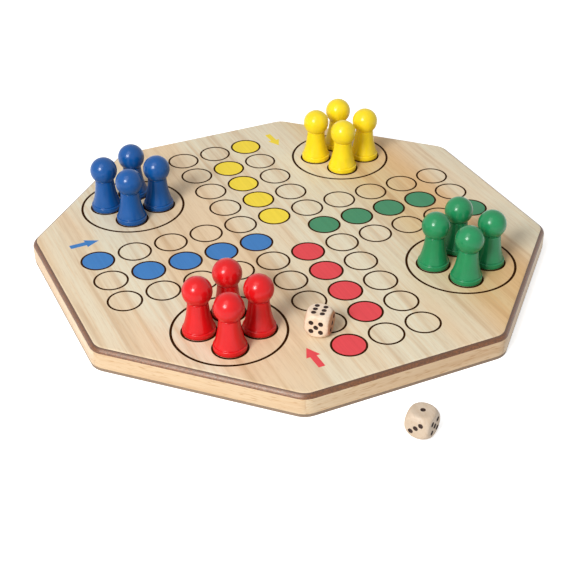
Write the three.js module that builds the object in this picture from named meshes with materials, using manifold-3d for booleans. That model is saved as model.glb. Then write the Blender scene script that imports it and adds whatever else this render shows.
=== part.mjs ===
// A ludo game in wood: an octagonal board, sixteen turned pawns in four colours and two dice.
// Lengths are millimetres and +Z is up. The origin is the centre of the board's underside, on the table.
// Each flat side of the board faces a multiple of 45 degrees, the first one along +X.
import * as THREE from "three";
import { mergeVertices, toCreasedNormals } from "three/addons/utils/BufferGeometryUtils.js";
import Module from "manifold-3d";

const wasm = await Module();
wasm.setup();

const degrees = THREE.MathUtils.degToRad;

// Board: a brown hardboard bottom, a mitred beech frame, a brown fibreboard top and a pale veneer. One
// round-over along the upper edge is cut through the veneer, the fibreboard and the frame's top.
const BOARD_SIDES = 8;
const BOARD_CORNER_RADIUS = 19;
const EDGE_ROUNDING = 6;
const BOTTOM_PANEL_THICKNESS = 3.1;
const BOTTOM_PANEL_INSET = 0.4;
const FRAME_HEIGHT = 14.9;
const FRAME_STRIP_WIDTH = 18;
const MITRE_GAP = 0.3;
const TOP_PANEL_THICKNESS = 3.85;
const VENEER_THICKNESS = 0.4;

// Turned pawn: a rounded foot band, a groove, a flared body, a groove under the head, a round head.
const PAWN_HEAD_DIAMETER = 25.8;
const PAWN_HEAD_OVERHANG = 4;
const PAWN_BODY_HEIGHT = 24.3;
const PAWN_FOOT_PROUD = 1.5;
const PAWN_FOOT_STEP = 1;
const PAWN_FOOT_BAND_HEIGHT = 3.3;
const PAWN_FOOT_ROUNDING = 0.9;
const PAWN_GROOVE_WIDTH = 0.9;
const PAWN_GROOVE_DEPTH = 0.5;
const BODY_HANDLE_SHARE = 1 / 3;
const BODY_LOW_NARROWING_SHARE = 0.64;
const BODY_HIGH_NARROWING_SHARE = 0.87;

// Die: a cube whose corners and edges are cut by a ball, with drilled pips.
const DIE_EDGE = 22.2;
const DIE_BALL_PROUD = 3.6;
const PIP_DIAMETER = 4.4;
const PIP_GAP = 0.7;
const PIP_DEPTH = 0.9;
const CUT_OVERRUN = 1;

// Printed layout that the pieces stand on: rings along a cross, five fields from its middle to the
// end of an arm, and a home circle with four more rings in each corner. The print lies slightly
// turned on the board.
const RING_MARGIN = 0.6;
const FIELD_GAP = 6;
const FIELDS_PER_ARM = 5;
const PAWNS_PER_HOME = 4;
const HOME_MARGIN = 9.1;
const HOME_GAP = 15.4;
const HOME_TURN = degrees(-22.5);
const PRINT_TURN = degrees(1.3);
const BOARD_MARGIN = 31.5;

// Free pieces stand this far above the veneer, so that they lift off cleanly.
const STANDING_CLEARANCE = 0.1;

// Where the dice lie and how far each is turned. The board's die is placed along the print, in
// shares of the field pitch, and the table's from the middle of the board's front edge.
const BOARD_DIE_PLACE_SHARES = [-1.36, -4.22];
const BOARD_DIE_TURN = degrees(-43.5);
const TABLE_DIE_LEFT = 18.8;
const TABLE_DIE_DISTANCE = 52.5;
const TABLE_DIE_TURN = degrees(-58.8);

// Facets
const CORNER_STEPS = 4;
const EDGE_STEP_ANGLE = degrees(12);
const PAWN_FACETS = 16;
const BODY_STEPS = 5;
const HEAD_STEPS = 7;
const DIE_BALL_FACETS = 24;
const PIP_FACETS = 9;
const PIP_STEPS = 3;
const CREASE_ANGLE = degrees(40);

// Sizes that follow from the ones above
const PAWN_HEAD_RADIUS = PAWN_HEAD_DIAMETER / 2;
const PAWN_NECK_RADIUS = PAWN_HEAD_RADIUS - PAWN_HEAD_OVERHANG;
const PAWN_FOOT_RADIUS = PAWN_HEAD_RADIUS + PAWN_FOOT_PROUD;
const PAWN_SKIRT_RADIUS = PAWN_FOOT_RADIUS - PAWN_FOOT_STEP;
const PAWN_FOOT_HEIGHT = PAWN_FOOT_BAND_HEIGHT + 2 * PAWN_FOOT_ROUNDING;
const RING_RADIUS = PAWN_FOOT_RADIUS + RING_MARGIN;
const FIELD_PITCH = 2 * RING_RADIUS + FIELD_GAP;
const HOME_RING_REACH = FIELD_PITCH / Math.SQRT2;
const HOME_RADIUS = HOME_RING_REACH + RING_RADIUS + HOME_MARGIN;
const HOME_REACH = FIELD_PITCH + RING_RADIUS + HOME_GAP + HOME_RADIUS;
const PIP_SPACING = PIP_DIAMETER + PIP_GAP;
const SIDE_ANGLE = (2 * Math.PI) / BOARD_SIDES;
const BOARD_APOTHEM = FIELDS_PER_ARM * FIELD_PITCH + RING_RADIUS + BOARD_MARGIN;
const CORNER_CENTRE_DISTANCE = BOARD_APOTHEM - BOARD_CORNER_RADIUS;
const FRAME_LEVEL = BOTTOM_PANEL_THICKNESS;
const TOP_PANEL_LEVEL = FRAME_LEVEL + FRAME_HEIGHT;
const VENEER_LEVEL = TOP_PANEL_LEVEL + TOP_PANEL_THICKNESS;
const PLAYING_LEVEL = VENEER_LEVEL + VENEER_THICKNESS;
const ROUNDING_LEVEL = PLAYING_LEVEL - EDGE_ROUNDING;
const STANDING_LEVEL = PLAYING_LEVEL + STANDING_CLEARANCE;

// Each colour's home lies to the right or left of the cross's middle, and up or down from it.
const HOMES = {
  yellow: { right: 1, up: 1, paint: 0xf7d417 },
  blue: { right: -1, up: 1, paint: 0x1d4f96 },
  red: { right: -1, up: -1, paint: 0xdb2323 },
  green: { right: 1, up: -1, paint: 0x2a8a55 },
};

function finish(color, roughness) {
  return new THREE.MeshStandardMaterial({ color, roughness, metalness: 0 });
}

const beechVeneer = finish(0xe8d1b0, 0.45);
const beech = finish(0xf0d3a8, 0.55);
const fibreboard = finish(0x8a6548, 0.6);
const hardboard = finish(0x8f7c68, 0.7);
const dieWood = finish(0xf2dab4, 0.5);

function named(name, geometry, material) {
  const mesh = new THREE.Mesh(geometry, material);
  mesh.name = name;
  return mesh;
}

// Points along an arc from one angle to another
function arcPoints(centreX, centreY, radius, fromAngle, toAngle, steps) {
  const points = [];
  for (let step = 0; step <= steps; step++) {
    const angle = fromAngle + ((toAngle - fromAngle) * step) / steps;
    points.push([centreX + radius * Math.cos(angle), centreY + radius * Math.sin(angle)]);
  }
  return points;
}

// The board's outline, set in from its side wall: straight sides joined by corner arcs
function boardOutline(inset) {
  const halfAngle = SIDE_ANGLE / 2;
  const centreReach = CORNER_CENTRE_DISTANCE / Math.cos(halfAngle);
  const outline = [];
  for (let corner = 0; corner < BOARD_SIDES; corner++) {
    const middle = SIDE_ANGLE * corner + halfAngle;
    const centreX = centreReach * Math.cos(middle);
    const centreY = centreReach * Math.sin(middle);
    const radius = BOARD_CORNER_RADIUS - inset;
    const from = middle - halfAngle;
    const to = middle + halfAngle;
    outline.push(...arcPoints(centreX, centreY, radius, from, to, CORNER_STEPS));
  }
  return outline;
}

// The strip of the frame that faces +X, seen from above and set in from the board's side wall. Its
// ends are mitred, half the gap short of the line from the board's middle to its corner, and each
// takes half of the corner's arc.
function frameStripOutline(inset) {
  const halfAngle = SIDE_ANGLE / 2;
  const radius = BOARD_CORNER_RADIUS - inset;
  const arcEnd = halfAngle - Math.asin(MITRE_GAP / 2 / radius);
  const innerX = BOARD_APOTHEM - FRAME_STRIP_WIDTH;
  const innerY = innerX * Math.tan(halfAngle) - MITRE_GAP / 2 / Math.cos(halfAngle);
  const centreX = CORNER_CENTRE_DISTANCE;
  const centreY = CORNER_CENTRE_DISTANCE * Math.tan(halfAngle);
  return [
    [innerX, innerY],
    [innerX, -innerY],
    ...arcPoints(centreX, -centreY, radius, -arcEnd, 0, CORNER_STEPS / 2),
    ...arcPoints(centreX, centreY, radius, 0, arcEnd, CORNER_STEPS / 2),
  ];
}

// Levels of a piece of the board from its underside to its top, each with its inset from the side
// wall. Where the round-over cuts the piece, they step evenly along the arc.
function edgeLevels(bottom, top) {
  if (top <= ROUNDING_LEVEL) {
    return [bottom, top].map((height) => ({ inset: 0, height }));
  }
  const levels = bottom < ROUNDING_LEVEL ? [{ inset: 0, height: bottom }] : [];
  const [from, to] = [bottom, top].map((height) => {
    const rise = THREE.MathUtils.clamp(height - ROUNDING_LEVEL, 0, EDGE_ROUNDING);
    return Math.asin(rise / EDGE_ROUNDING);
  });
  const steps = Math.ceil((to - from) / EDGE_STEP_ANGLE);
  for (let step = 0; step <= steps; step++) {
    const angle = from + ((to - from) * step) / steps;
    levels.push({
      inset: EDGE_ROUNDING * (1 - Math.cos(angle)),
      height: ROUNDING_LEVEL + EDGE_ROUNDING * Math.sin(angle),
    });
  }
  return levels;
}

// A closed solid lofted through levels, lowest first. The outline is convex and has as many points
// at each inset.
function lofted(levels, outlineAt) {
  const outlines = levels.map(({ inset }) => outlineAt(inset));
  const positions = outlines.flatMap((outline, level) =>
    outline.flatMap(([x, y]) => [x, y, levels[level].height]),
  );
  const count = outlines[0].length;
  const top = (levels.length - 1) * count;
  const faces = [];
  for (let low = 0; low < top; low += count) {
    for (let here = 0; here < count; here++) {
      const next = (here + 1) % count;
      faces.push(low + here, low + next, low + count + next);
      faces.push(low + here, low + count + next, low + count + here);
    }
  }
  for (let here = 1; here < count - 1; here++) {
    faces.push(0, here + 1, here);
    faces.push(top, top + here, top + here + 1);
  }
  const geometry = new THREE.BufferGeometry();
  geometry.setAttribute("position", new THREE.Float32BufferAttribute(positions, 3));
  geometry.setIndex(faces);
  return toCreasedNormals(geometry, CREASE_ANGLE);
}

function bottomPanel() {
  const levels = [0, FRAME_LEVEL].map((height) => ({ inset: BOTTOM_PANEL_INSET, height }));
  return named("bottom_panel", lofted(levels, boardOutline), hardboard);
}

function frameStrips() {
  const geometry = lofted(edgeLevels(FRAME_LEVEL, TOP_PANEL_LEVEL), frameStripOutline);
  const strips = [];
  for (let side = 0; side < BOARD_SIDES; side++) {
    const strip = named(`frame_strip_${side + 1}`, geometry, beech);
    strip.rotation.z = SIDE_ANGLE * side;
    strips.push(strip);
  }
  return strips;
}

function topPanel() {
  const levels = edgeLevels(TOP_PANEL_LEVEL, VENEER_LEVEL);
  return named("top_panel", lofted(levels, boardOutline), fibreboard);
}

function topVeneer() {
  const levels = edgeLevels(VENEER_LEVEL, PLAYING_LEVEL);
  return named("top_veneer", lofted(levels, boardOutline), beechVeneer);
}

// Half section of a pawn, from the middle of its foot up to the top of its head, as [radius, height].
function pawnProfile() {
  const skirtLevel = PAWN_FOOT_HEIGHT + PAWN_GROOVE_WIDTH;
  const bodyTop = skirtLevel + PAWN_BODY_HEIGHT;
  const headLevel = bodyTop + PAWN_GROOVE_WIDTH;
  const profile = [
    [0, 0],
    [PAWN_FOOT_RADIUS - PAWN_FOOT_ROUNDING, 0],
    [PAWN_FOOT_RADIUS, PAWN_FOOT_ROUNDING],
    [PAWN_FOOT_RADIUS, PAWN_FOOT_HEIGHT - PAWN_FOOT_ROUNDING],
    [PAWN_FOOT_RADIUS - PAWN_FOOT_ROUNDING, PAWN_FOOT_HEIGHT],
    [PAWN_SKIRT_RADIUS - PAWN_GROOVE_DEPTH, PAWN_FOOT_HEIGHT + PAWN_GROOVE_WIDTH / 2],
  ];
  const narrowing = PAWN_SKIRT_RADIUS - PAWN_NECK_RADIUS;
  const handle = PAWN_BODY_HEIGHT * BODY_HANDLE_SHARE;
  const body = new THREE.CubicBezierCurve(
    new THREE.Vector2(PAWN_SKIRT_RADIUS, skirtLevel),
    new THREE.Vector2(PAWN_SKIRT_RADIUS - narrowing * BODY_LOW_NARROWING_SHARE, skirtLevel + handle),
    new THREE.Vector2(PAWN_SKIRT_RADIUS - narrowing * BODY_HIGH_NARROWING_SHARE, bodyTop - handle),
    new THREE.Vector2(PAWN_NECK_RADIUS, bodyTop),
  );
  for (const point of body.getPoints(BODY_STEPS)) {
    profile.push([point.x, point.y]);
  }
  profile.push([PAWN_NECK_RADIUS - PAWN_GROOVE_DEPTH, bodyTop + PAWN_GROOVE_WIDTH / 2]);
  // The head's ball starts where it is as wide as the neck.
  const headStart = -Math.acos(PAWN_NECK_RADIUS / PAWN_HEAD_RADIUS);
  const headCentre = headLevel - PAWN_HEAD_RADIUS * Math.sin(headStart);
  for (let step = 0; step < HEAD_STEPS; step++) {
    const angle = headStart + ((Math.PI / 2 - headStart) * step) / HEAD_STEPS;
    profile.push([PAWN_HEAD_RADIUS * Math.cos(angle), headCentre + PAWN_HEAD_RADIUS * Math.sin(angle)]);
  }
  profile.push([0, headCentre + PAWN_HEAD_RADIUS]);
  return profile.map(([radius, height]) => new THREE.Vector2(radius, height));
}

// A point of the print, from the middle of its cross, as it lies on the turned print
function onPrint(x, y) {
  return new THREE.Vector2(x, y).rotateAround(new THREE.Vector2(), PRINT_TURN);
}

// Four pawns stand in the four rings of each home, which are a field's pitch apart.
function pawns() {
  const geometry = new THREE.LatheGeometry(pawnProfile(), PAWN_FACETS).rotateX(Math.PI / 2);
  const all = [];
  for (const [colour, { right, up, paint }] of Object.entries(HOMES)) {
    const lacquer = finish(paint, 0.2);
    for (let ring = 0; ring < PAWNS_PER_HOME; ring++) {
      const ringAngle = HOME_TURN + (2 * Math.PI * ring) / PAWNS_PER_HOME;
      const place = onPrint(
        right * HOME_REACH + HOME_RING_REACH * Math.cos(ringAngle),
        up * HOME_REACH + HOME_RING_REACH * Math.sin(ringAngle),
      );
      const pawn = named(`${colour}_pawn_${ring + 1}`, geometry, lacquer);
      pawn.position.set(place.x, place.y, STANDING_LEVEL);
      all.push(pawn);
    }
  }
  return all;
}

// Places of a face's pips from the middle of the face, in shares of the pip spacing. The six's two
// columns stand closer together than they are long, and the other faces have one square pattern.
const CORNER_SHARE = 0.82;
const COLUMN_SHARE = 0.74;
const PIP_PLACE_SHARES = {
  1: [[0, 0]],
  2: [-1, 1].map((end) => [end * CORNER_SHARE, end * CORNER_SHARE]),
  3: [-1, 0, 1].map((end) => [end * CORNER_SHARE, end * CORNER_SHARE]),
  4: [-1, 1].flatMap((side) => [-1, 1].map((end) => [side * CORNER_SHARE, end * CORNER_SHARE])),
  6: [-1, 1].flatMap((side) => [-1, 0, 1].map((end) => [side * COLUMN_SHARE, end])),
};
PIP_PLACE_SHARES[5] = [...PIP_PLACE_SHARES[4], ...PIP_PLACE_SHARES[1]];

// Each face's right-hand and upward directions. Opposite faces add up to seven, and one, two and
// three run anticlockwise round their common corner.
const DIE_FACES = [
  { count: 6, right: [1, 0, 0], up: [0, 1, 0] },
  { count: 1, right: [-1, 0, 0], up: [0, 1, 0] },
  { count: 5, right: [1, 0, 0], up: [0, 0, 1] },
  { count: 2, right: [-1, 0, 0], up: [0, 0, 1] },
  { count: 3, right: [0, 1, 0], up: [0, 0, 1] },
  { count: 4, right: [0, -1, 0], up: [0, 0, 1] },
];

// A manifold-3d solid of a closed geometry
function solid(geometry) {
  const bare = geometry.clone();
  bare.deleteAttribute("normal");
  bare.deleteAttribute("uv");
  const merged = mergeVertices(bare);
  return new wasm.Manifold(
    new wasm.Mesh({
      numProp: 3,
      vertProperties: merged.getAttribute("position").array,
      triVerts: new Uint32Array(merged.getIndex().array),
    }),
  );
}

function geometryOf(manifold) {
  const mesh = manifold.getMesh();
  const geometry = new THREE.BufferGeometry();
  geometry.setAttribute("position", new THREE.BufferAttribute(mesh.vertProperties, 3));
  geometry.setIndex(new THREE.BufferAttribute(mesh.triVerts, 1));
  return toCreasedNormals(geometry, CREASE_ANGLE);
}

// A shallow round-bottomed cutter for one pip, with its axis along +Z and the face at height zero
function pipCutter() {
  const radius = PIP_DIAMETER / 2;
  const profile = [[0, -PIP_DEPTH]];
  for (let step = 1; step < PIP_STEPS; step++) {
    const angle = ((Math.PI / 2) * step) / PIP_STEPS;
    profile.push([radius * Math.sin(angle), -PIP_DEPTH * Math.cos(angle)]);
  }
  profile.push([radius, 0], [radius, CUT_OVERRUN], [0, CUT_OVERRUN]);
  const points = profile.map(([across, height]) => new THREE.Vector2(across, height));
  return new THREE.LatheGeometry(points, PIP_FACETS).rotateX(Math.PI / 2);
}

function dieGeometry() {
  const ballRadius = DIE_EDGE / 2 + DIE_BALL_PROUD;
  const ball = new THREE.SphereGeometry(ballRadius, DIE_BALL_FACETS, DIE_BALL_FACETS / 2);
  let die = solid(new THREE.BoxGeometry(DIE_EDGE, DIE_EDGE, DIE_EDGE)).intersect(solid(ball));
  const cutter = pipCutter();
  for (const { count, right, up } of DIE_FACES) {
    const rightward = new THREE.Vector3(...right);
    const upward = new THREE.Vector3(...up);
    const outward = rightward.clone().cross(upward);
    for (const [across, along] of PIP_PLACE_SHARES[count]) {
      const place = outward.clone().multiplyScalar(DIE_EDGE / 2);
      place.addScaledVector(rightward, across * PIP_SPACING);
      place.addScaledVector(upward, along * PIP_SPACING);
      const pose = new THREE.Matrix4().makeBasis(rightward, upward, outward).setPosition(place);
      die = die.subtract(solid(cutter.clone().applyMatrix4(pose)));
    }
  }
  return geometryOf(die);
}

// One die lies on the board with its six up, the other on the table in front with its one up.
function dice() {
  const geometry = dieGeometry();
  const boardDie = named("board_die", geometry, dieWood);
  const place = onPrint(...BOARD_DIE_PLACE_SHARES.map((share) => share * FIELD_PITCH));
  boardDie.position.set(place.x, place.y, STANDING_LEVEL + DIE_EDGE / 2);
  boardDie.rotation.z = BOARD_DIE_TURN;
  const tableDie = named("table_die", geometry, dieWood);
  tableDie.position.set(-TABLE_DIE_LEFT, -BOARD_APOTHEM - TABLE_DIE_DISTANCE, DIE_EDGE / 2);
  tableDie.rotation.set(Math.PI, 0, TABLE_DIE_TURN - Math.PI / 2, "ZYX");
  return [boardDie, tableDie];
}

const game = new THREE.Group();
game.add(bottomPanel(), ...frameStrips(), topPanel(), topVeneer(), ...pawns(), ...dice());

export default game;
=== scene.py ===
"""A wooden ludo game, dressed for rendering.

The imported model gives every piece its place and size. Here each visible piece gets its surface: the
board's panels and strips, the printed field, the turned pawns, the rounded dice, and a plain studio.
Sizes are written in millimetres, and the settings keep them in metres, as Blender does.
"""

import math

import bmesh
import bpy
from bpy.props import FloatProperty, FloatVectorProperty, PointerProperty
from mathutils import Matrix, Vector


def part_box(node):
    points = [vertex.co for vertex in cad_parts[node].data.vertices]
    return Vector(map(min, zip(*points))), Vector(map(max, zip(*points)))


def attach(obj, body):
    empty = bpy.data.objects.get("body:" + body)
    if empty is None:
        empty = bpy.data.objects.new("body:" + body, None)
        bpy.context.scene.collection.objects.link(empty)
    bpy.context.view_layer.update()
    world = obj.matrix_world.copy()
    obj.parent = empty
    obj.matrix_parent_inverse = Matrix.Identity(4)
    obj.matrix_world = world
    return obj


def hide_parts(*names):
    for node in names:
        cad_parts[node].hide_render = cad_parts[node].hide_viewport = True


bl_info = {
    "name": "Wooden Ludo Game",
    "version": (1, 0, 0),
    "blender": (4, 5, 0),
    "location": "3D View > Sidebar > Ludo",
    "description": "Builds the visible pieces, the finishes and the studio of a wooden ludo game",
    "category": "Object",
}

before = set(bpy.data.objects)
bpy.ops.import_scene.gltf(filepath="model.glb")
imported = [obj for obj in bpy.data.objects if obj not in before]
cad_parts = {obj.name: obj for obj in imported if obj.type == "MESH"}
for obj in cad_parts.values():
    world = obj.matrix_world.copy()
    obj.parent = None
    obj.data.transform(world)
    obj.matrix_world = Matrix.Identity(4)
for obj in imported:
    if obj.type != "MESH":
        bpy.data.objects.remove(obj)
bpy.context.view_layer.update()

MM = 0.001

# Board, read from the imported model
BOARD_SIDES = 8
SIDE_ANGLE = 2 * math.pi / BOARD_SIDES
BOARD_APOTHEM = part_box("frame_strip_1")[1].x
STRIP_WIDTH = BOARD_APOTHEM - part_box("frame_strip_1")[0].x
STRIP_LOW, STRIP_HIGH = (corner.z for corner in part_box("frame_strip_1"))
VENEER_LOW, PLAYING_LEVEL = (corner.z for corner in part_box("top_veneer"))

# Each colour's arm of the cross, as the angle that it points at from the middle of the board
ARMS = {"green": 0.0, "yellow": math.pi / 2, "blue": math.pi, "red": -math.pi / 2}
ARM_END = 5

# Coloured fields of an arm, as rows out and aside: its middle column, and the start field
COLOURED_FIELDS = [*((row, 0) for row in range(1, ARM_END)), (ARM_END, 1)]


def middle_of(node):
    """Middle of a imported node, seen from above."""
    low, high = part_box(node)
    return ((low + high) / 2).to_2d()


def pawns_of(colour):
    """Names of a colour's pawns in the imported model."""
    return sorted(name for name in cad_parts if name.startswith(f"{colour}_pawn"))


# Print, read from the pawns, which stand at the middle of their homes' rings a field's pitch apart
HOME_RINGS = {colour: [middle_of(pawn) for pawn in pawns_of(colour)] for colour in ARMS}
HOMES = {colour: sum(rings, Vector((0, 0))) / len(rings) for colour, rings in HOME_RINGS.items()}
FIELD_PITCH = (HOME_RINGS["red"][1] - HOME_RINGS["red"][0]).length
PRINT_TURN = math.atan2(HOMES["yellow"].y, HOMES["yellow"].x) - math.pi / 4

# Facets, and the steps of arcs and curves
CORNER_STEPS = 10
EDGE_STEP = math.radians(3)
PAWN_FACETS = 96
ARC_STEPS = 6
BODY_STEPS = 24
HEAD_STEPS = 36
RING_FACETS = 72
HOME_FACETS = 160
DIE_CUTS = 63
PIP_FACETS = 32
PIP_STEPS = 8

# Edges that turn further than this stay sharp
SHARP_ANGLE = math.radians(35)

# Corners of the curve of a pawn's body, as shares of its narrowing and of its height
BODY_CURVE = ((0, 0), (0.64, 1 / 3), (0.87, 2 / 3), (1, 1))

# How sharp a die's own edges are and how sharp the edges that the ball cuts, higher for sharper
EDGE_SHARPNESS = 16
BALL_SHARPNESS = 26

# How each die lies, in degrees: its turn seen from above, and half a turn over where its one is up
DIE_TURNS = {"board_die": (-43.5, 0), "table_die": (-148.8, 180)}

# Places of a face's pips from the middle of the face, in shares of the pip spacing. The six's two
# columns stand closer together than they are long, and the other faces have one square pattern.
CORNER_SHARE = 0.82
COLUMN_SHARE = 0.74
ENDS = (-CORNER_SHARE, CORNER_SHARE)
PIP_PLACE_SHARES = {
    1: [(0, 0)],
    2: [(end, end) for end in ENDS],
    3: [(0, 0), *((end, end) for end in ENDS)],
    4: [(side, end) for side in ENDS for end in ENDS],
    5: [(0, 0), *((side, end) for side in ENDS for end in ENDS)],
    6: [(side, end) for side in (-COLUMN_SHARE, COLUMN_SHARE) for end in (-1, 0, 1)],
}

# Each face's right-hand and upward directions. Opposite faces add up to seven.
DIE_FACES = {
    6: ((1, 0, 0), (0, 1, 0)),
    1: ((-1, 0, 0), (0, 1, 0)),
    5: ((1, 0, 0), (0, 0, 1)),
    2: ((-1, 0, 0), (0, 0, 1)),
    3: ((0, 1, 0), (0, 0, 1)),
    4: ((0, -1, 0), (0, 0, 1)),
}

# Studio's fixed values: lengths in metres, the sensor's width in millimetres, the floor's grey
SENSOR_WIDTH = 36
CLIP_START = 0.05
CLIP_END = 50
FLOOR_REACH = 20
FLOOR_DROP = 0.2 * MM
FLOOR_GREY = 0.84


def linear(colour):
    """The scene-linear value of an sRGB hex colour, such as 0xe8d1b0."""
    channels = [(colour >> shift & 0xFF) / 255 for shift in (16, 8, 0)]
    return [c / 12.92 if c <= 0.04045 else ((c + 0.055) / 1.055) ** 2.4 for c in channels]


def length(name, description, millimetres):
    """A property that holds a length."""
    return FloatProperty(
        name=name, description=description, default=millimetres * MM, precision=5, unit="LENGTH"
    )


def angle(name, description, degrees):
    """A property that holds an angle."""
    return FloatProperty(
        name=name, description=description, default=math.radians(degrees), subtype="ANGLE"
    )


def paint(name, description, colour):
    """A property that holds a colour."""
    return FloatVectorProperty(
        name=name, description=description, default=linear(colour), subtype="COLOR", min=0, max=1
    )


def fraction(name, description, default):
    """A property that holds a part of one."""
    return FloatProperty(
        name=name, description=description, default=default, min=0, max=1, subtype="FACTOR"
    )


def watts(name, description, default):
    """A property that holds a lamp's power."""
    return FloatProperty(name=name, description=description, default=default, unit="POWER")


class LudoBoardSettings(bpy.types.PropertyGroup):
    """Edges and wood colours of the board."""

    corner_radius: length("Corner Radius", "Rounding of the board's eight corners", 19)
    edge_rounding: length("Edge Rounding", "Round-over along the board's upper edge", 6)
    mitre_gap: length("Mitre Gap", "Glue line between two frame strips", 0.1)
    edge_break: length("Edge Break", "Sanded lower edge of the frame strips", 0.25)
    veneer_pale: paint("Veneer Pale", "Lightest wood of the veneer", 0xE2D8BE)
    veneer_warm: paint("Veneer Warm", "Pinkish zones of the veneer", 0xE3C9A6)
    veneer_fleck: paint("Veneer Fleck", "Tan bands and fine rays of the veneer", 0xB88F62)
    veneer_leaf: paint("Veneer Leaf", "Stain of the tanner leaf on the right", 0xF6E4C6)
    leaf_middle: length("Leaf Middle", "Tanner leaf, from the middle of the board", 135)
    leaf_core: length("Leaf Core", "Half width of the leaf at its full stain", 20)
    leaf_reach: length("Leaf Reach", "Half width of the leaf with its fading edges", 60)
    strip_pale: paint("Strip Pale", "Lightest wood of the frame strips", 0xDDCAAA)
    strip_warm: paint("Strip Warm", "Darker wood of the frame strips", 0xD4B894)
    strip_fleck: paint("Strip Fleck", "Fine dark rays of the frame strips", 0xB0804F)
    fibreboard: paint("Fibreboard", "Brown fibreboard under the veneer", 0x653817)
    # Laid on the upper part of the round-over, where it turns up to the veneer
    upper_rim_brown: paint("Upper Rim Brown", "Fibreboard's hard face under the veneer", 0x4C2D1C)
    hardboard: paint("Hardboard", "Pressed hardboard of the bottom", 0x85705C)


class LudoPrintSettings(bpy.types.PropertyGroup):
    """Layout and inks of the printed field."""

    line_width: length("Line Width", "Lines of the rings", 1.9)
    home_line_width: length("Home Line Width", "Lines of the homes' circles", 2.25)
    field_gap: length("Field Gap", "Space between the middle lines of two rings", 6)
    home_margin: length("Home Margin", "Space between a home's rings and its circle", 9.1)
    arrow_length: length("Arrow Length", "Start arrow, tip to tail", 28)
    arrow_head_length: length("Arrow Head Length", "Tip to barbs", 12.8)
    arrow_head_width: length("Arrow Head Width", "Barb to barb", 13)
    arrow_shaft_width: length("Arrow Shaft Width", "Width of the arrow's shaft", 6)
    arrow_offset: length("Arrow Offset", "Arrow's middle line from the arm's middle", 69.5)
    arrow_tail: length("Arrow Tail", "Arrow's tail from the middle of the board", 195.6)
    ink_height: length("Ink Height", "How far the ink stands above the veneer", 0.03)
    black: paint("Black Ink", "Lines", 0x331A06)
    yellow: paint("Yellow Ink", "Yellow fields and arrow", 0xEDD246)
    blue: paint("Blue Ink", "Blue fields and arrow", 0x447BB8)
    red: paint("Red Ink", "Red fields and arrow", 0xDC4C52)
    green: paint("Green Ink", "Green fields and arrow", 0x4A8A66)


class LudoPawnSettings(bpy.types.PropertyGroup):
    """Profile and lacquers of the pawns."""

    head_diameter: length("Head Diameter", "Round head", 25.8)
    head_overhang: length("Head Overhang", "How far the head stands out over the neck", 4)
    body_height: length("Body Height", "Flared body between the two grooves", 24.3)
    foot_proud: length("Foot Proud", "How far the foot stands out past the head", 1.5)
    foot_step: length("Foot Step", "How far the body's skirt lies in from the foot", 1)
    foot_band_height: length("Foot Band Height", "Straight part of the foot band", 3.3)
    foot_rounding: length("Foot Rounding", "Rounded edges of the foot band", 0.9)
    groove_width: length("Groove Width", "Both turned grooves", 0.9)
    groove_depth: length("Groove Depth", "Both turned grooves", 0.5)
    yellow: paint("Yellow Lacquer", "Yellow pawns", 0xF9DA1D)
    blue: paint("Blue Lacquer", "Blue pawns", 0x0C5196)
    red: paint("Red Lacquer", "Red pawns", 0xD51216)
    green: paint("Green Lacquer", "Green pawns", 0x208854)


class LudoDiceSettings(bpy.types.PropertyGroup):
    """Shape and finish of the dice."""

    ball_proud: length("Ball Proud", "How far the ball that cuts the corners passes the faces", 3.6)
    pip_diameter: length("Pip Diameter", "Drilled pips", 4.4)
    pip_gap: length("Pip Gap", "Wood between two pips of a six's column", 0.7)
    pip_depth: length("Pip Depth", "Drilled pips", 0.9)
    lining: length("Pip Lining", "Paint in a pip", 0.05)
    wood_pale: paint("Wood Pale", "Lightest wood of the dice", 0xECD9C4)
    wood_warm: paint("Wood Warm", "Darker wood of the dice", 0xDFC8AE)
    wood_fleck: paint("Wood Fleck", "Fine dark rays of the dice", 0xCFB08E)
    # Share that the table die's wood colours are multiplied by, darkening it all over
    table_die_shade: fraction("Table Die Shade", "Browner wood of the table's die", 0.77)
    # Partly end grain and partly painted shade, on the board die's sides across X
    end_grain_and_shade: paint("End Grain And Shade", "Stain of the board die's end grain", 0xD4B294)
    pip: paint("Pip Paint", "Dark brown paint in the pips", 0x2C1C15)


class LudoStudioSettings(bpy.types.PropertyGroup):
    """Camera, lamps and floor."""

    lens: FloatProperty(
        name="Lens", description="Focal length", default=74.04 * MM, precision=5, unit="CAMERA"
    )
    camera_place: FloatVectorProperty(
        name="Camera Place",
        description="Where the camera stands, from the middle of the board's underside",
        default=(-415.6 * MM, -880.3 * MM, 619.6 * MM),
        subtype="TRANSLATION",
    )
    camera_azimuth: angle("Camera Azimuth", "Clockwise turn of the view from +Y", 25.315)
    camera_drop: angle("Camera Drop", "How far the view points down", 34.173)
    lamp_distance: length("Lamp Distance", "Both lamps, from the middle of the board", 3000)
    key_azimuth: angle("Key Azimuth", "Direction that the key lamp stands in, from +X", -148.7)
    key_elevation: angle("Key Elevation", "Height of the key lamp over the floor", 36)
    key_size: length("Key Size", "Diameter of the key lamp", 1000)
    key_power: watts("Key Power", "Key lamp", 75)
    softbox_azimuth: angle("Softbox Azimuth", "Direction that the softbox stands in, from +X", -152)
    softbox_elevation: angle("Softbox Elevation", "Height of the softbox over the floor", 62)
    softbox_size: length("Softbox Size", "Diameter of the softbox", 1800)
    softbox_power: watts("Softbox Power", "Softbox", 18)
    sky_level: fraction("Sky Level", "Plain light all round", 0.34)
    floor_lift: fraction("Floor Lift", "White that the camera sees on top of the floor's grey", 0.64)


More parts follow.
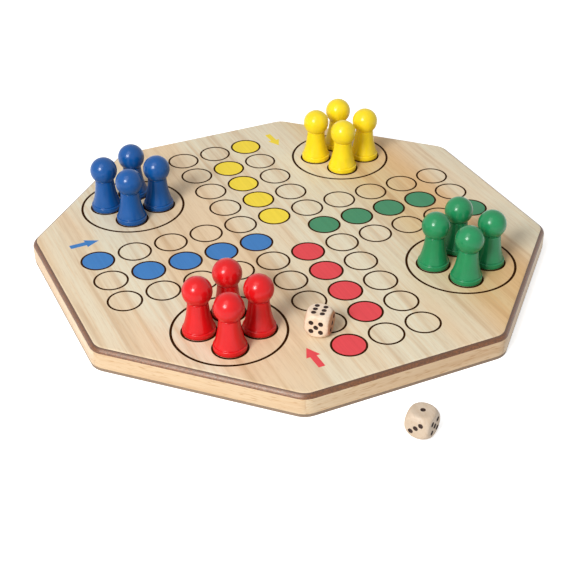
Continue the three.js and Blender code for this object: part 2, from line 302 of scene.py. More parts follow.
def add(tree, kind, inputs=None, **settings):
    """Adds a node, with its own settings, and its inputs set to values or linked to sockets."""
    node = tree.nodes.new(kind)
    for name, value in settings.items():
        setattr(node, name, value)
    for name, value in (inputs or {}).items():
        if isinstance(value, bpy.types.NodeSocket):
            tree.links.new(value, node.inputs[name])
        else:
            node.inputs[name].default_value = value
    return node


# Sockets of a Mix node that mixes colours
MIX_A = 6
MIX_B = 7
MIX_RESULT = 2

# Turns that lay the grain, which figures draw along X, along a piece's own direction
ALONG_Y = (0, 0, math.pi / 2)
ALONG_Z = (0, math.pi / 2, 0)
SLANTED = (0.2, 0.35, 0.9)

# Millimetres of the log that each piece is cut from, at a spot of its own
LOG = (2900.0, 1700.0, 1300.0)

# Value of a relief's noise up to which the surface is at its smoothest
RELIEF_FLOOR = 0.3

WHITE = (1.0, 1.0, 1.0)


def opaque(colour, share=1.0):
    """A colour times a share, with full alpha, as a colour socket takes it."""
    return (*(min(1.0, channel * share) for channel in colour), 1.0)


def new_material(name):
    """An empty material and its node tree."""
    material = bpy.data.materials.new(name)
    material.use_nodes = True
    material.node_tree.nodes.clear()
    return material, material.node_tree


def grain_place(tree, turn=(0, 0, 0)):
    """Place in millimetres, with the grain along X. Each piece is cut from its own spot in the log."""
    place = add(tree, "ShaderNodeTexCoord").outputs["Object"]
    scale = (1 / MM, 1 / MM, 1 / MM)
    place = add(tree, "ShaderNodeMapping", {"Vector": place, "Rotation": turn, "Scale": scale})
    spot = add(tree, "ShaderNodeObjectInfo").outputs["Random"]
    spot = add(tree, "ShaderNodeCombineXYZ", {"X": spot, "Y": spot, "Z": spot}).outputs["Vector"]
    spot = add(tree, "ShaderNodeVectorMath", {0: spot, 1: LOG}, operation="MULTIPLY")
    moved = {0: place.outputs["Vector"], 1: spot.outputs["Vector"]}
    return add(tree, "ShaderNodeVectorMath", moved, operation="ADD").outputs["Vector"]


def figure(tree, place, along, across, detail=2.0, roughness=0.5, distortion=0.0):
    """Noise drawn out along the grain, with features of about these lengths in millimetres."""
    stretch = (1 / along, 1 / across, 1 / across)
    stretched = add(tree, "ShaderNodeMapping", {"Vector": place, "Scale": stretch})
    inputs = {
        "Vector": stretched.outputs["Vector"],
        "Scale": 1.0,
        "Detail": detail,
        "Roughness": roughness,
        "Distortion": distortion,
    }
    return add(tree, "ShaderNodeTexNoise", inputs).outputs["Fac"]


def laid(tree, below, tone, pattern, start, end, share=1.0, blend_type="MIX"):
    """A tone laid over a colour. It fades in as a pattern's value runs from start to end."""
    fading = {"Value": pattern, "From Min": start, "From Max": end, "To Max": share}
    shown = add(tree, "ShaderNodeMapRange", fading, interpolation_type="SMOOTHSTEP")
    inputs = {"Factor": shown.outputs["Result"], MIX_A: below, MIX_B: tone}
    mix = add(tree, "ShaderNodeMix", inputs, data_type="RGBA", blend_type=blend_type)
    return mix.outputs[MIX_RESULT]


def surface(tree, colour, relief, depth, strength, smooth, rough, finish, peak=0.8):
    """Ends a material in a solid surface. Its relief has a depth in millimetres, and its roughness
    runs from smooth to rough as the relief's noise rises to its peak."""
    rise = {
        "Value": relief,
        "From Min": RELIEF_FLOOR,
        "From Max": peak,
        "To Min": smooth,
        "To Max": rough,
    }
    roughness = add(tree, "ShaderNodeMapRange", rise, interpolation_type="SMOOTHSTEP")
    height = {"Height": relief, "Strength": strength, "Distance": depth * MM}
    bump = add(tree, "ShaderNodeBump", height)
    inputs = {
        "Base Color": colour,
        "Roughness": roughness.outputs["Result"],
        "Normal": bump.outputs["Normal"],
        **finish,
    }
    shader = add(tree, "ShaderNodeBsdfPrincipled", inputs)
    add(tree, "ShaderNodeOutputMaterial", {"Surface": shader.outputs["BSDF"]})


def wood_figure(tree, place, woods, ray_share):
    """Colour of a sliced beech face: wide warm zones, gentle bands and streaks, short fine rays.
    Beech rays are about half a millimetre wide, and are drawn twice as coarse so that they show."""
    pale, warm, fleck = woods
    streak_tint = (0.95, 0.9, 0.82)
    deeper = [channel * part for channel, part in zip(warm, streak_tint)]
    zones = figure(tree, place, along=420, across=60, roughness=0.4, distortion=0.2)
    bands = figure(tree, place, along=260, across=11, detail=3, roughness=0.6)
    streaks = figure(tree, place, along=120, across=2.5, detail=4, roughness=0.6)
    fibres = figure(tree, place, along=30, across=1.2)
    rays = figure(tree, place, along=9, across=1.1, detail=1)
    colour = opaque(pale)
    for tone, pattern, start, end, share in (
        (warm, zones, 0.4, 0.62, 1.0),
        (fleck, bands, 0.45, 0.72, 0.5),
        (deeper, streaks, 0.45, 0.8, 0.75),
        (fleck, fibres, 0.45, 0.8, 0.2),
        (fleck, rays, 0.55, 0.75, ray_share),
    ):
        colour = laid(tree, colour, opaque(tone), pattern, start, end, share)
    return colour


def beech_veneer(board):
    """Sliced beech veneer under satin lacquer: pale, streaked along the grain, faintly open pored,
    with a tanner leaf on the right. The pores of beech are about a tenth of a millimetre wide, and
    are drawn several times as coarse so that they show, here and on the strips, inks and dice."""
    material, tree = new_material("beech veneer, satin lacquer")
    place = grain_place(tree, ALONG_Y)
    woods = (board.veneer_pale, board.veneer_warm, board.veneer_fleck)
    colour = wood_figure(tree, place, woods, ray_share=0.15)
    aside = add(tree, "ShaderNodeTexCoord").outputs["Object"]
    aside = add(tree, "ShaderNodeSeparateXYZ", {"Vector": aside}).outputs["X"]
    aside = add(tree, "ShaderNodeMath", {0: aside, 1: board.leaf_middle}, operation="SUBTRACT")
    aside = add(tree, "ShaderNodeMath", {0: aside.outputs[0]}, operation="ABSOLUTE").outputs[0]
    leaf = opaque(board.veneer_leaf)
    edges = {"start": board.leaf_reach, "end": board.leaf_core}
    colour = laid(tree, colour, leaf, aside, **edges, blend_type="MULTIPLY")
    pores = figure(tree, place, along=9, across=0.7)
    finish = {"IOR": 1.4}
    surface(tree, colour, pores, depth=0.02, strength=0.2, smooth=0.42, rough=0.52, finish=finish)
    return material


def beech_strip(board):
    """Planed solid beech under satin lacquer: even, warm, with short ray flecks along the grain."""
    material, tree = new_material("solid beech, satin lacquer")
    place = grain_place(tree, ALONG_Y)
    woods = (board.strip_pale, board.strip_warm, board.strip_fleck)
    colour = wood_figure(tree, place, woods, ray_share=0.6)
    pores = figure(tree, place, along=6, across=0.6)
    finish = {"IOR": 1.4}
    surface(tree, colour, pores, depth=0.03, strength=0.3, smooth=0.4, rough=0.52, finish=finish)
    return material


def fibreboard(board):
    """Brown fibreboard, routed and lacquered: a glossy, grainy edge, darker on its rim. Its fibres
    are finer than half a millimetre, and are drawn three times as coarse so that they show. The
    brown dust in the lacquer warms the gloss."""
    material, tree = new_material("fibreboard, lacquered edge")
    brown = board.fibreboard
    fibres = figure(tree, grain_place(tree), along=1.8, across=1.3, detail=3, roughness=0.7)
    colour = laid(tree, opaque(brown, 0.6), opaque(brown, 1.6), fibres, start=0.35, end=0.7)
    facing = add(tree, "ShaderNodeNewGeometry").outputs["Normal"]
    facing = add(tree, "ShaderNodeSeparateXYZ", {"Vector": facing}).outputs["Z"]
    # Darker brown where the round-over faces well upwards, just below the veneer's edge
    colour = laid(tree, colour, opaque(board.upper_rim_brown), facing, start=0.72, end=0.93)
    finish = {"IOR": 1.75, "Specular Tint": opaque((1.0, 0.9, 0.8))}
    gloss = {"smooth": 0.33, "rough": 0.45, "peak": 0.7}
    surface(tree, colour, fibres, depth=0.25, strength=1.0, finish=finish, **gloss)
    return material


def hardboard(board):
    """Pressed hardboard: grey-brown felted fibres, matt. They are finer than half a millimetre, and
    are drawn twice as coarse so that they show."""
    material, tree = new_material("hardboard, pressed")
    brown = board.hardboard
    felt = {"detail": 4, "roughness": 0.7, "distortion": 1.5}
    fibres = figure(tree, grain_place(tree), along=2.5, across=0.8, **felt)
    colour = laid(tree, opaque(brown, 0.75), opaque(brown, 1.3), fibres, start=0.3, end=0.7)
    gloss = {"smooth": 0.6, "rough": 0.75, "peak": 0.7}
    surface(tree, colour, fibres, depth=0.08, strength=0.4, finish={"IOR": 1.5}, **gloss)
    return material


def printing_ink(name, ink, ior=1.14):
    """Screen-printed ink over satin lacquer: flat, and thin enough for the grain to show a little.
    A lower index leaves the ink duller."""
    material, tree = new_material(f"screen ink, {name}")
    place = grain_place(tree, ALONG_Y)
    grain = figure(tree, place, along=90, across=3, detail=4, roughness=0.6)
    colour = laid(tree, opaque(ink), opaque(ink, 1.1), grain, start=0.3, end=0.75)
    pores = figure(tree, place, along=9, across=0.7)
    finish = {"IOR": ior}
    surface(tree, colour, pores, depth=0.02, strength=0.2, smooth=0.45, rough=0.55, finish=finish)
    return material


def gloss_lacquer(name, colour):
    """Opaque gloss lacquer dipped over turned wood: a soft sheen from the swelled grain below, with
    a small bright highlight from the coat on top."""
    material, tree = new_material(f"gloss lacquer on turned wood, {name}")
    place = grain_place(tree, ALONG_Z)
    clouds = figure(tree, place, along=14, across=9)
    tint = laid(tree, opaque(colour, 0.9), opaque(colour), clouds, start=0.3, end=0.7)
    grain = figure(tree, place, along=24, across=3)
    finish = {"IOR": 1.15, "Coat Weight": 0.55, "Coat Roughness": 0.2, "Coat IOR": 1.5}
    gloss = {"smooth": 0.36, "rough": 0.42, "peak": 0.7}
    surface(tree, tint, grain, depth=0.04, strength=0.06, finish=finish, **gloss)
    return material


def tumbled_beech(dice, name, shade, end_grain_and_shade):
    """Beech tumbled smooth and left bare: pale, matt, with fine pores along the grain. The table's
    die has its wood colours multiplied by a share, darker all over. The board's die has its two
    sides across X multiplied darker: partly end grain, and partly painted shade on its shaded
    right side."""
    material, tree = new_material(f"tumbled beech, bare, {name}")
    place = grain_place(tree, SLANTED)
    woods = (dice.wood_pale, dice.wood_warm, dice.wood_fleck)
    woods = [[channel * shade for channel in wood] for wood in woods]
    colour = wood_figure(tree, place, woods, ray_share=0.4)
    facing = add(tree, "ShaderNodeTexCoord").outputs["Normal"]
    facing = add(tree, "ShaderNodeSeparateXYZ", {"Vector": facing}).outputs["X"]
    facing = add(tree, "ShaderNodeMath", {0: facing}, operation="ABSOLUTE").outputs[0]
    # Painted shade and end grain: the die's sides across X, the shaded right one among them
    across = {"start": 0.55, "end": 0.95}
    colour = laid(tree, colour, opaque(end_grain_and_shade), facing, **across, blend_type="MULTIPLY")
    pores = figure(tree, place, along=3, across=0.4)
    finish = {"IOR": 1.5}
    surface(tree, colour, pores, depth=0.03, strength=0.3, smooth=0.5, rough=0.62, finish=finish)
    return material


def pip_paint(dice):
    """Dark brown paint dabbed into drilled pips: half gloss, uneven where it pooled."""
    material, tree = new_material("brown paint in pips")
    pools = figure(tree, grain_place(tree), along=0.8, across=0.8)
    colour = laid(tree, opaque(dice.pip), opaque(dice.pip, 2), pools, start=0.4, end=0.8)
    inputs = {"Base Color": colour, "Roughness": 0.4, "IOR": 1.3}
    shader = add(tree, "ShaderNodeBsdfPrincipled", inputs)
    add(tree, "ShaderNodeOutputMaterial", {"Surface": shader.outputs["BSDF"]})
    return material


def new_piece(name, mesh, material, body):
    """Shows a mesh as a smooth-shaded piece that rides on a body."""
    mesh.name = name
    mesh.shade_smooth()
    mesh.set_sharp_from_angle(angle=SHARP_ANGLE)
    mesh.materials.append(material)
    piece = bpy.data.objects.new(name, mesh)
    bpy.context.scene.collection.objects.link(piece)
    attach(piece, body)
    return piece


def mesh_of(bm):
    """Turns a finished bmesh into a mesh."""
    bmesh.ops.recalc_face_normals(bm, faces=bm.faces)
    mesh = bpy.data.meshes.new("piece")
    bm.to_mesh(mesh)
    bm.free()
    return mesh


def edge_levels(board, low, high):
    """Heights of a piece of the board, each with its inset from the side wall. Where the round-over
    of the board's edge cuts the piece, they step evenly along its arc."""
    rounding = board.edge_rounding
    start = PLAYING_LEVEL - rounding
    levels = [(low, 0)] if low < start else []
    first, last = (math.asin(min(max((z - start) / rounding, 0), 1)) for z in (low, high))
    steps = math.ceil((last - first) / EDGE_STEP)
    for step in range(steps + 1):
        turn = first + (last - first) * step / steps
        levels.append((start + rounding * math.sin(turn), rounding * (1 - math.cos(turn))))
    return levels


def toward(turn):
    """Unit vector in a direction seen from above."""
    return Vector((math.cos(turn), math.sin(turn)))


def board_outline(board, inset):
    """Points round the board, set in from its side wall: straight sides joined by corner arcs."""
    points = []
    corner_radius = board.corner_radius - inset
    arc_centre = (BOARD_APOTHEM - board.corner_radius) / math.cos(SIDE_ANGLE / 2)
    for corner in range(BOARD_SIDES):
        corner_angle = SIDE_ANGLE * (corner + 0.5)
        middle = toward(corner_angle) * arc_centre
        for step in range(CORNER_STEPS + 1):
            arc_angle = corner_angle + SIDE_ANGLE * (step / CORNER_STEPS - 0.5)
            points.append(middle + corner_radius * toward(arc_angle))
    return points


def loft(bm, sections):
    """A closed solid through outlines of the same point count, each with its level, lowest first."""
    rows = [
        [bm.verts.new((point.x, point.y, level)) for point in outline]
        for level, outline in sections
    ]
    for low, high in zip(rows, rows[1:]):
        for here in range(len(low)):
            after = (here + 1) % len(low)
            bm.faces.new((low[here], low[after], high[after], high[here]))
    bm.faces.new(reversed(rows[0]))
    bm.faces.new(rows[-1])


def board_layer(board, levels):
    """Mesh of a layer as wide as the board, from its levels and their insets."""
    bm = bmesh.new()
    loft(bm, [(level, board_outline(board, inset)) for level, inset in levels])
    return mesh_of(bm)


def revolve(bm, profile, facets, matrix=None):
    """A closed solid from a profile of (radius, height) that starts and ends on the Z axis."""
    matrix = matrix or Matrix.Identity(4)
    rows = []
    for radius, height in profile:
        if radius == 0:
            rows.append([bm.verts.new(matrix @ Vector((0, 0, height)))])
            continue
        row = []
        for facet in range(facets):
            turn = 2 * math.pi * facet / facets
            point = Vector((radius * math.cos(turn), radius * math.sin(turn), height))
            row.append(bm.verts.new(matrix @ point))
        rows.append(row)
    # A row on the axis has one point, so that its faces are triangles
    for low, high in zip(rows, rows[1:]):
        for here in range(facets):
            after = (here + 1) % facets
            corners = [low[here % len(low)], low[after % len(low)]]
            corners += [high[after % len(high)], high[here % len(high)]]
            bm.faces.new(list(dict.fromkeys(corners)))


def rounded(centre, radius, start, end, steps=ARC_STEPS):
    """Points of a rounding in a profile, as (radius, height) round a centre."""
    points = []
    for step in range(steps + 1):
        turn = start + (end - start) * step / steps
        across = centre[0] + radius * math.cos(turn)
        points.append((across, centre[1] + radius * math.sin(turn)))
    return points


class LUDO_OT_bottom_panel(bpy.types.Operator):
    """Give the hardboard bottom panel its finish"""

    bl_idname = "ludo.bottom_panel"
    bl_label = "Bottom Panel"
    bl_options = {"REGISTER", "UNDO"}

    def execute(self, context):
        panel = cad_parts["bottom_panel"]
        panel.data.materials.clear()
        panel.data.materials.append(hardboard(context.scene.ludo_board))
        return {"FINISHED"}


class LUDO_OT_frame_strips(bpy.types.Operator):
    """Build the mitred beech strips of the board's frame"""

    bl_idname = "ludo.frame_strips"
    bl_label = "Frame Strips"
    bl_options = {"REGISTER", "UNDO"}

    def execute(self, context):
        board = context.scene.ludo_board
        wood = beech_strip(board)
        for side in range(BOARD_SIDES):
            bm = bmesh.new()
            levels = [(STRIP_LOW, board.edge_break)]
            levels += edge_levels(board, STRIP_LOW + board.edge_break, STRIP_HIGH)
            loft(bm, [(level, self.outline(board, inset)) for level, inset in levels])
            name = f"beech_strip_{side + 1}"
            strip = new_piece(name, mesh_of(bm), wood, "board")
            strip.rotation_euler.z = SIDE_ANGLE * side
            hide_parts(f"frame_strip_{side + 1}")
        return {"FINISHED"}

    def outline(self, board, inset):
        """One strip facing +X, seen from above, with half of a corner's arc at each end."""
        radius = board.corner_radius - inset
        half_angle = SIDE_ANGLE / 2
        arc_centre = (BOARD_APOTHEM - board.corner_radius) / math.cos(half_angle)
        arc_end = half_angle - math.asin(board.mitre_gap / 2 / radius)
        centre = Vector((arc_centre * math.cos(half_angle), arc_centre * math.sin(half_angle)))
        inner_x = BOARD_APOTHEM - STRIP_WIDTH
        inner_y = inner_x * math.tan(half_angle) - board.mitre_gap / 2 / math.cos(half_angle)
        upper = []
        for step in range(CORNER_STEPS + 1):
            turn = arc_end * step / CORNER_STEPS
            upper.append(centre + radius * toward(turn))
        lower = [Vector((point.x, -point.y)) for point in reversed(upper)]
        return [Vector((inner_x, -inner_y)), *lower, *upper, Vector((inner_x, inner_y))]


class LUDO_OT_top_panel(bpy.types.Operator):
    """Build the brown fibreboard top with its rounded edge"""

    bl_idname = "ludo.top_panel"
    bl_label = "Top Panel"
    bl_options = {"REGISTER", "UNDO"}

    def execute(self, context):
        board = context.scene.ludo_board
        mesh = board_layer(board, edge_levels(board, STRIP_HIGH, VENEER_LOW))
        panel = new_piece("fibreboard_top", mesh, fibreboard(board), "board")
        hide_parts("top_panel")
        return {"FINISHED"}


class LUDO_OT_top_veneer(bpy.types.Operator):
    """Lay the pale beech veneer on the top, up to the rounded edge"""

    bl_idname = "ludo.top_veneer"
    bl_label = "Top Veneer"
    bl_options = {"REGISTER", "UNDO"}

    def execute(self, context):
        board = context.scene.ludo_board
        levels = edge_levels(board, VENEER_LOW, PLAYING_LEVEL)
        # One more line just inside the rounding keeps the flat face's shading flat
        levels.append((PLAYING_LEVEL, board.edge_rounding + board.edge_break))
        mesh = board_layer(board, levels)
        veneer = new_piece("veneer_sheet", mesh, beech_veneer(board), "board")
        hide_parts("top_veneer")
        return {"FINISHED"}


class LUDO_OT_print(bpy.types.Operator):
    """Print the rings, homes, coloured fields and start arrows on the veneer"""

    bl_idname = "ludo.print"
    bl_label = "Print"
    bl_options = {"REGISTER", "UNDO"}

    def execute(self, context):
        inks = context.scene.ludo_print
        ring_radius = (FIELD_PITCH - inks.field_gap) / 2
        home_radius = FIELD_PITCH / math.sqrt(2) + ring_radius + inks.home_margin
        lines = bmesh.new()
        for place in self.cross():
            self.ring(inks, lines, place, ring_radius, inks.line_width, RING_FACETS)
        for colour, arm in ARMS.items():
            for place in HOME_RINGS[colour]:
                self.ring(inks, lines, place, ring_radius, inks.line_width, RING_FACETS)
            self.ring(inks, lines, HOMES[colour], home_radius, inks.home_line_width, HOME_FACETS)
            fills = bmesh.new()
            for place in self.coloured(arm):
                self.fill(inks, fills, self.circle(place, ring_radius, RING_FACETS))
            self.fill(inks, fills, self.arrow(inks, arm))
            ink = printing_ink(colour, getattr(inks, colour))
            new_piece(f"printed_{colour}", mesh_of(fills), ink, "board")
        ink = printing_ink("black", inks.black, ior=1.05)
        new_piece("printed_lines", mesh_of(lines), ink, "board")
        return {"FINISHED"}

    def on_arm(self, arm, out, aside):
        """A point that far out along an arm and aside to its right, on the slightly turned print."""
        outward = toward(arm + PRINT_TURN)
        rightward = Vector((outward.y, -outward.x))
        return outward * out + rightward * aside

    def cross(self):
        """Middles of the cross's rings: three rows along each arm, with the board's middle bare. The
        ring in an inner corner, which two arms share, comes once."""
        for arm in ARMS.values():
            for out in range(1, ARM_END + 1):
                for aside in (-1, 0, 1):
                    if (out, aside) != (1, -1):
                        yield self.on_arm(arm, out * FIELD_PITCH, aside * FIELD_PITCH)

    def coloured(self, arm):
        """Middles of an arm's coloured fields."""
        for out, aside in COLOURED_FIELDS:
            yield self.on_arm(arm, out * FIELD_PITCH, aside * FIELD_PITCH)

    def circle(self, place, radius, facets):
        """Outline of a round field."""
        turns = [2 * math.pi * facet / facets for facet in range(facets)]
        return [place + radius * toward(turn) for turn in turns]

    def ring(self, inks, bm, place, radius, width, facets):
        """A flat printed line round a place, standing twice as high as a fill that it goes round."""
        inner = self.circle(place, radius - width / 2, facets)
        outer = self.circle(place, radius + width / 2, facets)
        top = PLAYING_LEVEL + 2 * inks.ink_height
        section = [(inner, PLAYING_LEVEL), (outer, PLAYING_LEVEL), (outer, top), (inner, top)]
        rows = [[bm.verts.new((*point, level)) for point in points] for points, level in section]
        for row in range(len(rows)):
            low, high = rows[row - 1], rows[row]
            for here in range(facets):
                after = (here + 1) % facets
                bm.faces.new((low[here], low[after], high[after], high[here]))

    def fill(self, inks, bm, outline):
        """A flat printed area."""
        top = PLAYING_LEVEL + inks.ink_height
        loft(bm, [(PLAYING_LEVEL, outline), (top, outline)])

    def arrow(self, inks, arm):
        """Outline of the start arrow beside an arm, pointing inwards."""
        shaft = inks.arrow_shaft_width / 2
        head = inks.arrow_head_width / 2
        tip = inks.arrow_tail - inks.arrow_length
        barb = tip + inks.arrow_head_length
        places = [(inks.arrow_tail, -shaft), (inks.arrow_tail, shaft), (barb, shaft)]
        places += [(barb, head), (tip, 0), (barb, -head), (barb, -shaft)]
        return [self.on_arm(arm, out, inks.arrow_offset + aside) for out, aside in places]


class LUDO_OT_pawns(bpy.types.Operator):
    """Turn and lacquer the pawns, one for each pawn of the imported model"""

    bl_idname = "ludo.pawns"
    bl_label = "Pawns"
    bl_options = {"REGISTER", "UNDO"}

    def execute(self, context):
        pawns = context.scene.ludo_pawns
        profile = self.profile(pawns)
        for colour in ARMS:
            lacquer = gloss_lacquer(colour, getattr(pawns, colour))
            for node in pawns_of(colour):
                bm = bmesh.new()
                revolve(bm, profile, PAWN_FACETS)
                pawn = new_piece(f"turned_{node}", mesh_of(bm), lacquer, node)
                pawn.location = (*middle_of(node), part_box(node)[0].z)
                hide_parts(node)
        return {"FINISHED"}

    def profile(self, pawns):
        """Half section of a pawn, from the middle of its foot to the top of its head."""
        head = pawns.head_diameter / 2
        neck = head - pawns.head_overhang
        foot = head + pawns.foot_proud
        skirt = foot - pawns.foot_step
        rounding = pawns.foot_rounding
        foot_height = pawns.foot_band_height + 2 * rounding
        skirt_level = foot_height + pawns.groove_width
        body_top = skirt_level + pawns.body_height
        head_start = -math.acos(neck / head)
        head_centre = body_top + pawns.groove_width - head * math.sin(head_start)
        points = [(0, 0)]
        points += rounded((foot - rounding, rounding), rounding, -math.pi / 2, 0)
        points += rounded((foot - rounding, foot_height - rounding), rounding, 0, math.pi / 2)
        points += self.groove(pawns, (foot - rounding, foot_height), (skirt, skirt_level))
        points += self.body(pawns, skirt, neck, skirt_level)
        points += self.groove(pawns, (neck, body_top), (neck, body_top + pawns.groove_width))
        points += rounded((0, head_centre), head, head_start, math.pi / 2, HEAD_STEPS)[:-1]
        points.append((0, head_centre + head))
        return points

    def groove(self, pawns, below, above):
        """A soft round-bottomed groove between two points of the profile, without those points."""
        points = []
        deepest = min(below[0], above[0]) - pawns.groove_depth
        for step in range(1, ARC_STEPS):
            share = step / ARC_STEPS
            straight = below[0] + (above[0] - below[0]) * share
            dip = math.sin(math.pi * share)
            across = straight + (deepest - straight) * dip
            points.append((across, below[1] + (above[1] - below[1]) * share))
        return points

    def body(self, pawns, skirt, neck, level):
        """The flared body, a curve that narrows quickly at first and runs up almost straight."""
        corners = [
            Vector((skirt - (skirt - neck) * narrowing, level + pawns.body_height * rise))
            for narrowing, rise in BODY_CURVE
        ]
        points = []
        for step in range(BODY_STEPS + 1):
            t = step / BODY_STEPS
            weights = ((1 - t) ** 3, 3 * t * (1 - t) ** 2, 3 * t**2 * (1 - t), t**3)
            point = sum((w * c for w, c in zip(weights, corners)), Vector((0, 0)))
            points.append((point.x, point.y))
        return points


class LUDO_OT_dice(bpy.types.Operator):
    """Cut, drill and paint the dice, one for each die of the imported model"""

    bl_idname = "ludo.dice"
    bl_label = "Dice"
    bl_options = {"REGISTER", "UNDO"}

    def execute(self, context):
        dice = context.scene.ludo_dice
        brown = pip_paint(dice)
        for node, pose in self.poses().items():
            # The table's die is darkened all over by its share and gets no darker sides
            if node == "table_die":
                wood = tumbled_beech(dice, node, dice.table_die_shade, WHITE)
            else:
                wood = tumbled_beech(dice, node, 1.0, dice.end_grain_and_shade)
            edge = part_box(node)[1].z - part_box(node)[0].z
            blank = self.blank(dice, edge)
            cutters = bmesh.new()
            linings = bmesh.new()
            for matrix in self.pips(dice, edge):
                revolve(cutters, self.pip_cut(dice), PIP_FACETS, matrix)
                revolve(linings, self.pip_lining(dice), PIP_FACETS, matrix)
            mesh = self.drilled(blank, mesh_of(cutters))
            die = new_piece(f"tumbled_{node}", mesh, wood, node)
            pips = new_piece(f"{node}_pips", mesh_of(linings), brown, node)
            for piece in (die, pips):
                piece.matrix_world = pose
            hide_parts(node)
        return {"FINISHED"}

    def poses(self):
        """Where each die lies: turned about its middle, and the table's die with its one up."""
        poses = {}
        for node, (turn, flip) in DIE_TURNS.items():
            low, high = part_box(node)
            upright = Matrix.Rotation(math.radians(turn), 4, "Z")
            flipped = Matrix.Rotation(math.radians(flip), 4, "X")
            poses[node] = Matrix.Translation((low + high) / 2) @ upright @ flipped
        return poses

    def blank(self, dice, edge):
        """A cube whose corners and edges are cut by a ball, tumbled until the cuts run soft."""
        ball = edge / 2 + dice.ball_proud
        bm = bmesh.new()
        bmesh.ops.create_cube(bm, size=2)
        bmesh.ops.subdivide_edges(bm, edges=bm.edges, cuts=DIE_CUTS, use_grid_fill=True)
        for vertex in bm.verts:
            even = Vector([math.tan(part * math.pi / 4) for part in vertex.co])
            outward = even.normalized()
            spread = sum(abs(part) ** EDGE_SHARPNESS for part in outward)
            cube_reach = edge / 2 / spread ** (1 / EDGE_SHARPNESS)
            blend = cube_reach**-BALL_SHARPNESS + ball**-BALL_SHARPNESS
            vertex.co = outward * blend ** (-1 / BALL_SHARPNESS)
        return mesh_of(bm)

    def pips(self, dice, edge):
        """The place of every pip, with Z pointing out of its face."""
        spacing = dice.pip_diameter + dice.pip_gap
        for count, (right, up) in DIE_FACES.items():
            rightward, upward = Vector(right), Vector(up)
            outward = rightward.cross(upward)
            for across, along in PIP_PLACE_SHARES[count]:
                place = outward * edge / 2 + (rightward * across + upward * along) * spacing
                turn = Matrix((rightward, upward, outward)).transposed().to_4x4()
                yield Matrix.Translation(place) @ turn

    def bowl(self, radius, depth):
        """Round bottom of a pip, from its middle out to its rim."""
        points = [(0, -depth)]
        for step in range(1, PIP_STEPS + 1):
            turn = math.pi / 2 * step / PIP_STEPS
            points.append((radius * math.sin(turn), -depth * math.cos(turn)))
        return points

    def pip_cut(self, dice):
        """A drill bit that starts clear of the face."""
        radius = dice.pip_diameter / 2
        overrun = dice.pip_depth
        return [*self.bowl(radius, dice.pip_depth), (radius, overrun), (0, overrun)]

    def pip_lining(self, dice):
        """A thin coat that lies in the bowl and ends just below the face."""
        radius = dice.pip_diameter / 2
        gap = dice.lining / 2
        low = self.bowl(radius - gap, dice.pip_depth - gap)
        high = self.bowl(radius - gap - dice.lining, dice.pip_depth - gap - dice.lining)
        rim = -dice.lining
        low = [(across, min(height, rim)) for across, height in low]
        high = [(across, min(height, rim)) for across, height in high]
        return [*low, *reversed(high)]

    def drilled(self, blank, cutters):
        """The blank with its pips cut out."""
        objects = [bpy.data.objects.new(mesh.name, mesh) for mesh in (blank, cutters)]
        for part in objects:
            bpy.context.scene.collection.objects.link(part)
        drill = objects[0].modifiers.new("drill", "BOOLEAN")
        drill.operation = "DIFFERENCE"
        drill.solver = "EXACT"
        drill.object = objects[1]
        evaluated = objects[0].evaluated_get(bpy.context.evaluated_depsgraph_get())
        mesh = bpy.data.meshes.new_from_object(evaluated)
        for part in objects:
            bpy.data.objects.remove(part)
        return mesh


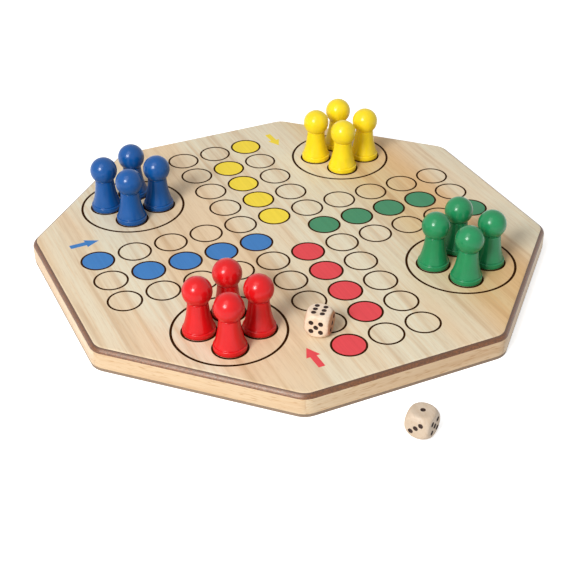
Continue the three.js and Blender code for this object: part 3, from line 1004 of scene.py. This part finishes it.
class LUDO_OT_studio(bpy.types.Operator):
    """Set up the camera, the lamps, the pale floor and the white surroundings"""

    bl_idname = "ludo.studio"
    bl_label = "Studio"
    bl_options = {"REGISTER", "UNDO"}

    def execute(self, context):
        studio = context.scene.ludo_studio
        self.camera(context, studio)
        for name in ("key", "softbox"):
            self.lamp(context, studio, name)
        self.surroundings(context, studio)
        self.floor(context, studio)
        context.scene.view_settings.view_transform = "Standard"
        return {"FINISHED"}

    def camera(self, context, studio):
        """The camera that frames the whole game, and sees it from the front left and above."""
        camera = bpy.data.objects.new("camera", bpy.data.cameras.new("camera"))
        camera.data.sensor_width = SENSOR_WIDTH
        camera.data.lens = studio.lens / MM
        camera.data.clip_start = CLIP_START
        camera.data.clip_end = CLIP_END
        camera.location = studio.camera_place
        camera.rotation_euler = (math.pi / 2 - studio.camera_drop, 0, -studio.camera_azimuth)
        context.scene.collection.objects.link(camera)
        context.scene.camera = camera

    def lamp(self, context, studio, name):
        """A round lamp that faces the middle of the board, from the settings under its name."""
        light = bpy.data.lights.new(name, "AREA")
        light.shape = "DISK"
        light.size = getattr(studio, f"{name}_size")
        light.energy = getattr(studio, f"{name}_power")
        azimuth = getattr(studio, f"{name}_azimuth")
        elevation = getattr(studio, f"{name}_elevation")
        flat = math.cos(elevation)
        outward = Vector((flat * math.cos(azimuth), flat * math.sin(azimuth), math.sin(elevation)))
        lamp = bpy.data.objects.new(name, light)
        lamp.location = outward * studio.lamp_distance
        lamp.rotation_euler = outward.to_track_quat("Z", "Y").to_euler()
        context.scene.collection.objects.link(lamp)

    def seen(self, tree):
        """One for rays that show the surroundings, nought for rays that only light a surface."""
        path = add(tree, "ShaderNodeLightPath")
        either = {0: path.outputs["Is Camera Ray"], 1: path.outputs["Is Glossy Ray"]}
        either = add(tree, "ShaderNodeMath", either, operation="MAXIMUM")
        every = {0: either.outputs[0], 1: path.outputs["Is Transmission Ray"]}
        return add(tree, "ShaderNodeMath", every, operation="MAXIMUM").outputs[0]

    def surroundings(self, context, studio):
        """A plain sky that looks white and lights softly from all round."""
        world = bpy.data.worlds.new("surroundings")
        world.use_nodes = True
        tree = world.node_tree
        tree.nodes.clear()
        mix = {"Factor": self.seen(tree), "A": studio.sky_level, "B": 1.0}
        strength = add(tree, "ShaderNodeMix", mix, data_type="FLOAT").outputs[0]
        sky = add(tree, "ShaderNodeBackground", {"Color": opaque(WHITE), "Strength": strength})
        add(tree, "ShaderNodeOutputWorld", {"Surface": sky.outputs["Background"]})
        context.scene.world = world

    def floor(self, context, studio):
        """A pale floor that looks white and keeps the object's soft shadow."""
        material, tree = new_material("pale studio floor")
        grey = add(tree, "ShaderNodeBsdfDiffuse", {"Color": opaque(WHITE, FLOOR_GREY)})
        lift = {0: self.seen(tree), 1: studio.floor_lift}
        lift = add(tree, "ShaderNodeMath", lift, operation="MULTIPLY").outputs[0]
        lift = add(tree, "ShaderNodeEmission", {"Color": opaque(WHITE), "Strength": lift})
        both = {0: grey.outputs["BSDF"], 1: lift.outputs["Emission"]}
        both = add(tree, "ShaderNodeAddShader", both)
        add(tree, "ShaderNodeOutputMaterial", {"Surface": both.outputs["Shader"]})
        bm = bmesh.new()
        bmesh.ops.create_grid(bm, x_segments=1, y_segments=1, size=FLOOR_REACH)
        mesh = mesh_of(bm)
        mesh.materials.append(material)
        floor = bpy.data.objects.new("floor", mesh)
        floor.location.z = -FLOOR_DROP
        context.scene.collection.objects.link(floor)


class LUDO_PT_panel(bpy.types.Panel):
    """Lists the pieces of the ludo game and their settings"""

    bl_label = "Ludo Game"
    bl_idname = "LUDO_PT_panel"
    bl_space_type = "VIEW_3D"
    bl_region_type = "UI"
    bl_category = "Ludo"

    def draw(self, context):
        for operator in OPERATORS:
            self.layout.operator(operator.bl_idname)
        for name, settings in SETTINGS.items():
            box = self.layout.box()
            for setting in settings.__annotations__:
                box.prop(getattr(context.scene, name), setting)


SETTINGS = {
    "ludo_board": LudoBoardSettings,
    "ludo_print": LudoPrintSettings,
    "ludo_pawns": LudoPawnSettings,
    "ludo_dice": LudoDiceSettings,
    "ludo_studio": LudoStudioSettings,
}
OPERATORS = (
    LUDO_OT_studio,
    LUDO_OT_bottom_panel,
    LUDO_OT_frame_strips,
    LUDO_OT_top_panel,
    LUDO_OT_top_veneer,
    LUDO_OT_print,
    LUDO_OT_pawns,
    LUDO_OT_dice,
)
CLASSES = (*SETTINGS.values(), *OPERATORS, LUDO_PT_panel)


def register():
    for entry in CLASSES:
        bpy.utils.register_class(entry)
    for name, settings in SETTINGS.items():
        setattr(bpy.types.Scene, name, PointerProperty(type=settings))


def unregister():
    for name in SETTINGS:
        delattr(bpy.types.Scene, name)
    for entry in reversed(CLASSES):
        bpy.utils.unregister_class(entry)


def main():
    register()
    bpy.ops.ludo.studio()
    bpy.ops.ludo.bottom_panel()
    bpy.ops.ludo.frame_strips()
    bpy.ops.ludo.top_panel()
    bpy.ops.ludo.top_veneer()
    bpy.ops.ludo.print()
    bpy.ops.ludo.pawns()
    bpy.ops.ludo.dice()


if __name__ == "__main__":
    main()
